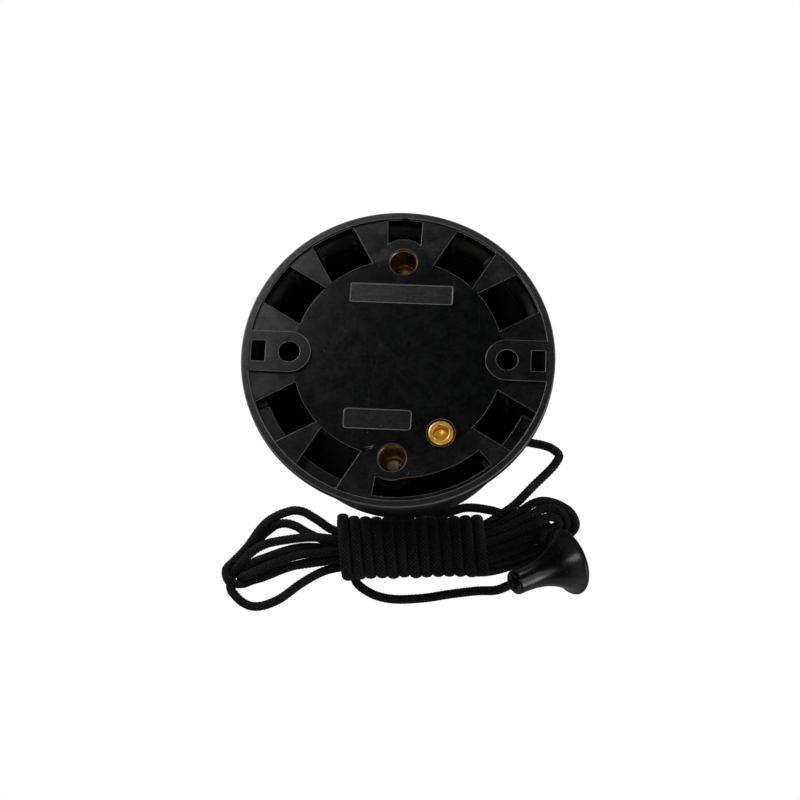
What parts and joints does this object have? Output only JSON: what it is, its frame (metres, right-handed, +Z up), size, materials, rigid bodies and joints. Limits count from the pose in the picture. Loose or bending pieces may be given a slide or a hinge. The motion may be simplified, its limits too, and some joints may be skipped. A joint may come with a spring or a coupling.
{
  "type": "pull cord switch",
  "caption": "Round ceiling pull cord switch with a domed cover, an open ribbed mounting base, a ratchet changeover mechanism and a hanked cord with a bell shaped knob.",
  "frame": {"origin": "middle of the round back panel of the base; the rim and the fixing pads that touch the ceiling stand 0.8 mm above it", "axes": "+Z up into the ceiling, so the cord pulls along -Z; X through the two fixing holes; +Y towards the top cover screw insert, away from the hanked cord"},
  "size_m": [0.107, 0.1056, 0.0552],
  "materials": {
    "black_plastic": "satin black moulded plastic",
    "grey_plastic": "matt grey moulded plastic",
    "white_plastic": "natural white moulded plastic",
    "black_cord": "black braided cord",
    "brass": "turned brass",
    "steel": "zinc plated steel",
    "copper": "copper strip"
  },
  "bodies": {
    "switch_body": {"base_plate": "black_plastic", "cover": "black_plastic", "cord_guide": "black_plastic", "mechanism_housing": "grey_plastic", "mechanism_lid": "grey_plastic", "terminal_block": "white_plastic", "cover_insert_top": "brass", "cover_insert_bottom": "brass", "earth_terminal": "brass", "terminal_pillar_com": "brass", "terminal_pillar_l1": "brass", "terminal_pillar_l2": "brass", "cover_screw_top": "steel", "cover_screw_bottom": "steel", "earth_screw": "steel", "lid_screw_1": "steel", "lid_screw_2": "steel", "housing_screw_1": "steel", "housing_screw_2": "steel", "ratchet_axle": "steel", "rocker_pin": "steel", "detent_spring": "steel", "terminal_screw_com": "steel", "terminal_screw_l1": "steel", "terminal_screw_l2": "steel", "fixed_contact_l1": "copper", "fixed_contact_l2": "copper", "common_strip": "copper"},
    "pull": {"pull_slider": "white_plastic", "cord": "black_cord", "return_spring": "steel"},
    "knob": {"knob": "black_plastic"},
    "ratchet": {"ratchet_wheel": "white_plastic"},
    "rocker": {"contact_rocker": "white_plastic", "moving_contact": "copper"}
  },
  "joints": [
    {"name": "pull_slide", "type": "slide", "parent": "switch_body", "child": "pull", "axis": [0, 0, -1], "range_m": [0, 0.009], "stiffness_N_per_m": 400, "springref_m": -0.006, "deforming": ["return_spring"]},
    {"name": "ratchet_turn", "type": "hinge", "parent": "switch_body", "child": "ratchet", "pos_m": [0.0126, 0.004, -0.0155], "axis": [0, -1, 0], "range_deg": [0, 90]},
    {"name": "rocker_tilt", "type": "hinge", "parent": "switch_body", "child": "rocker", "pos_m": [0.0194, 0.006, -0.0214], "axis": [0, -1, 0], "range_deg": [0, 7.8]},
    {"name": "knob_spin", "type": "hinge", "parent": "pull", "child": "knob", "pos_m": [0.0348, -0.054, -0.03685], "axis": [0.7895, 0.4706, -0.3939], "continuous": true}
  ],
  "couplings": [
    {"joint": "ratchet_turn", "follows": "pull_slide", "rad_per_m": 174.53},
    {"joint": "rocker_tilt", "follows": "pull_slide", "rad_per_m": 15.126}
  ]
}
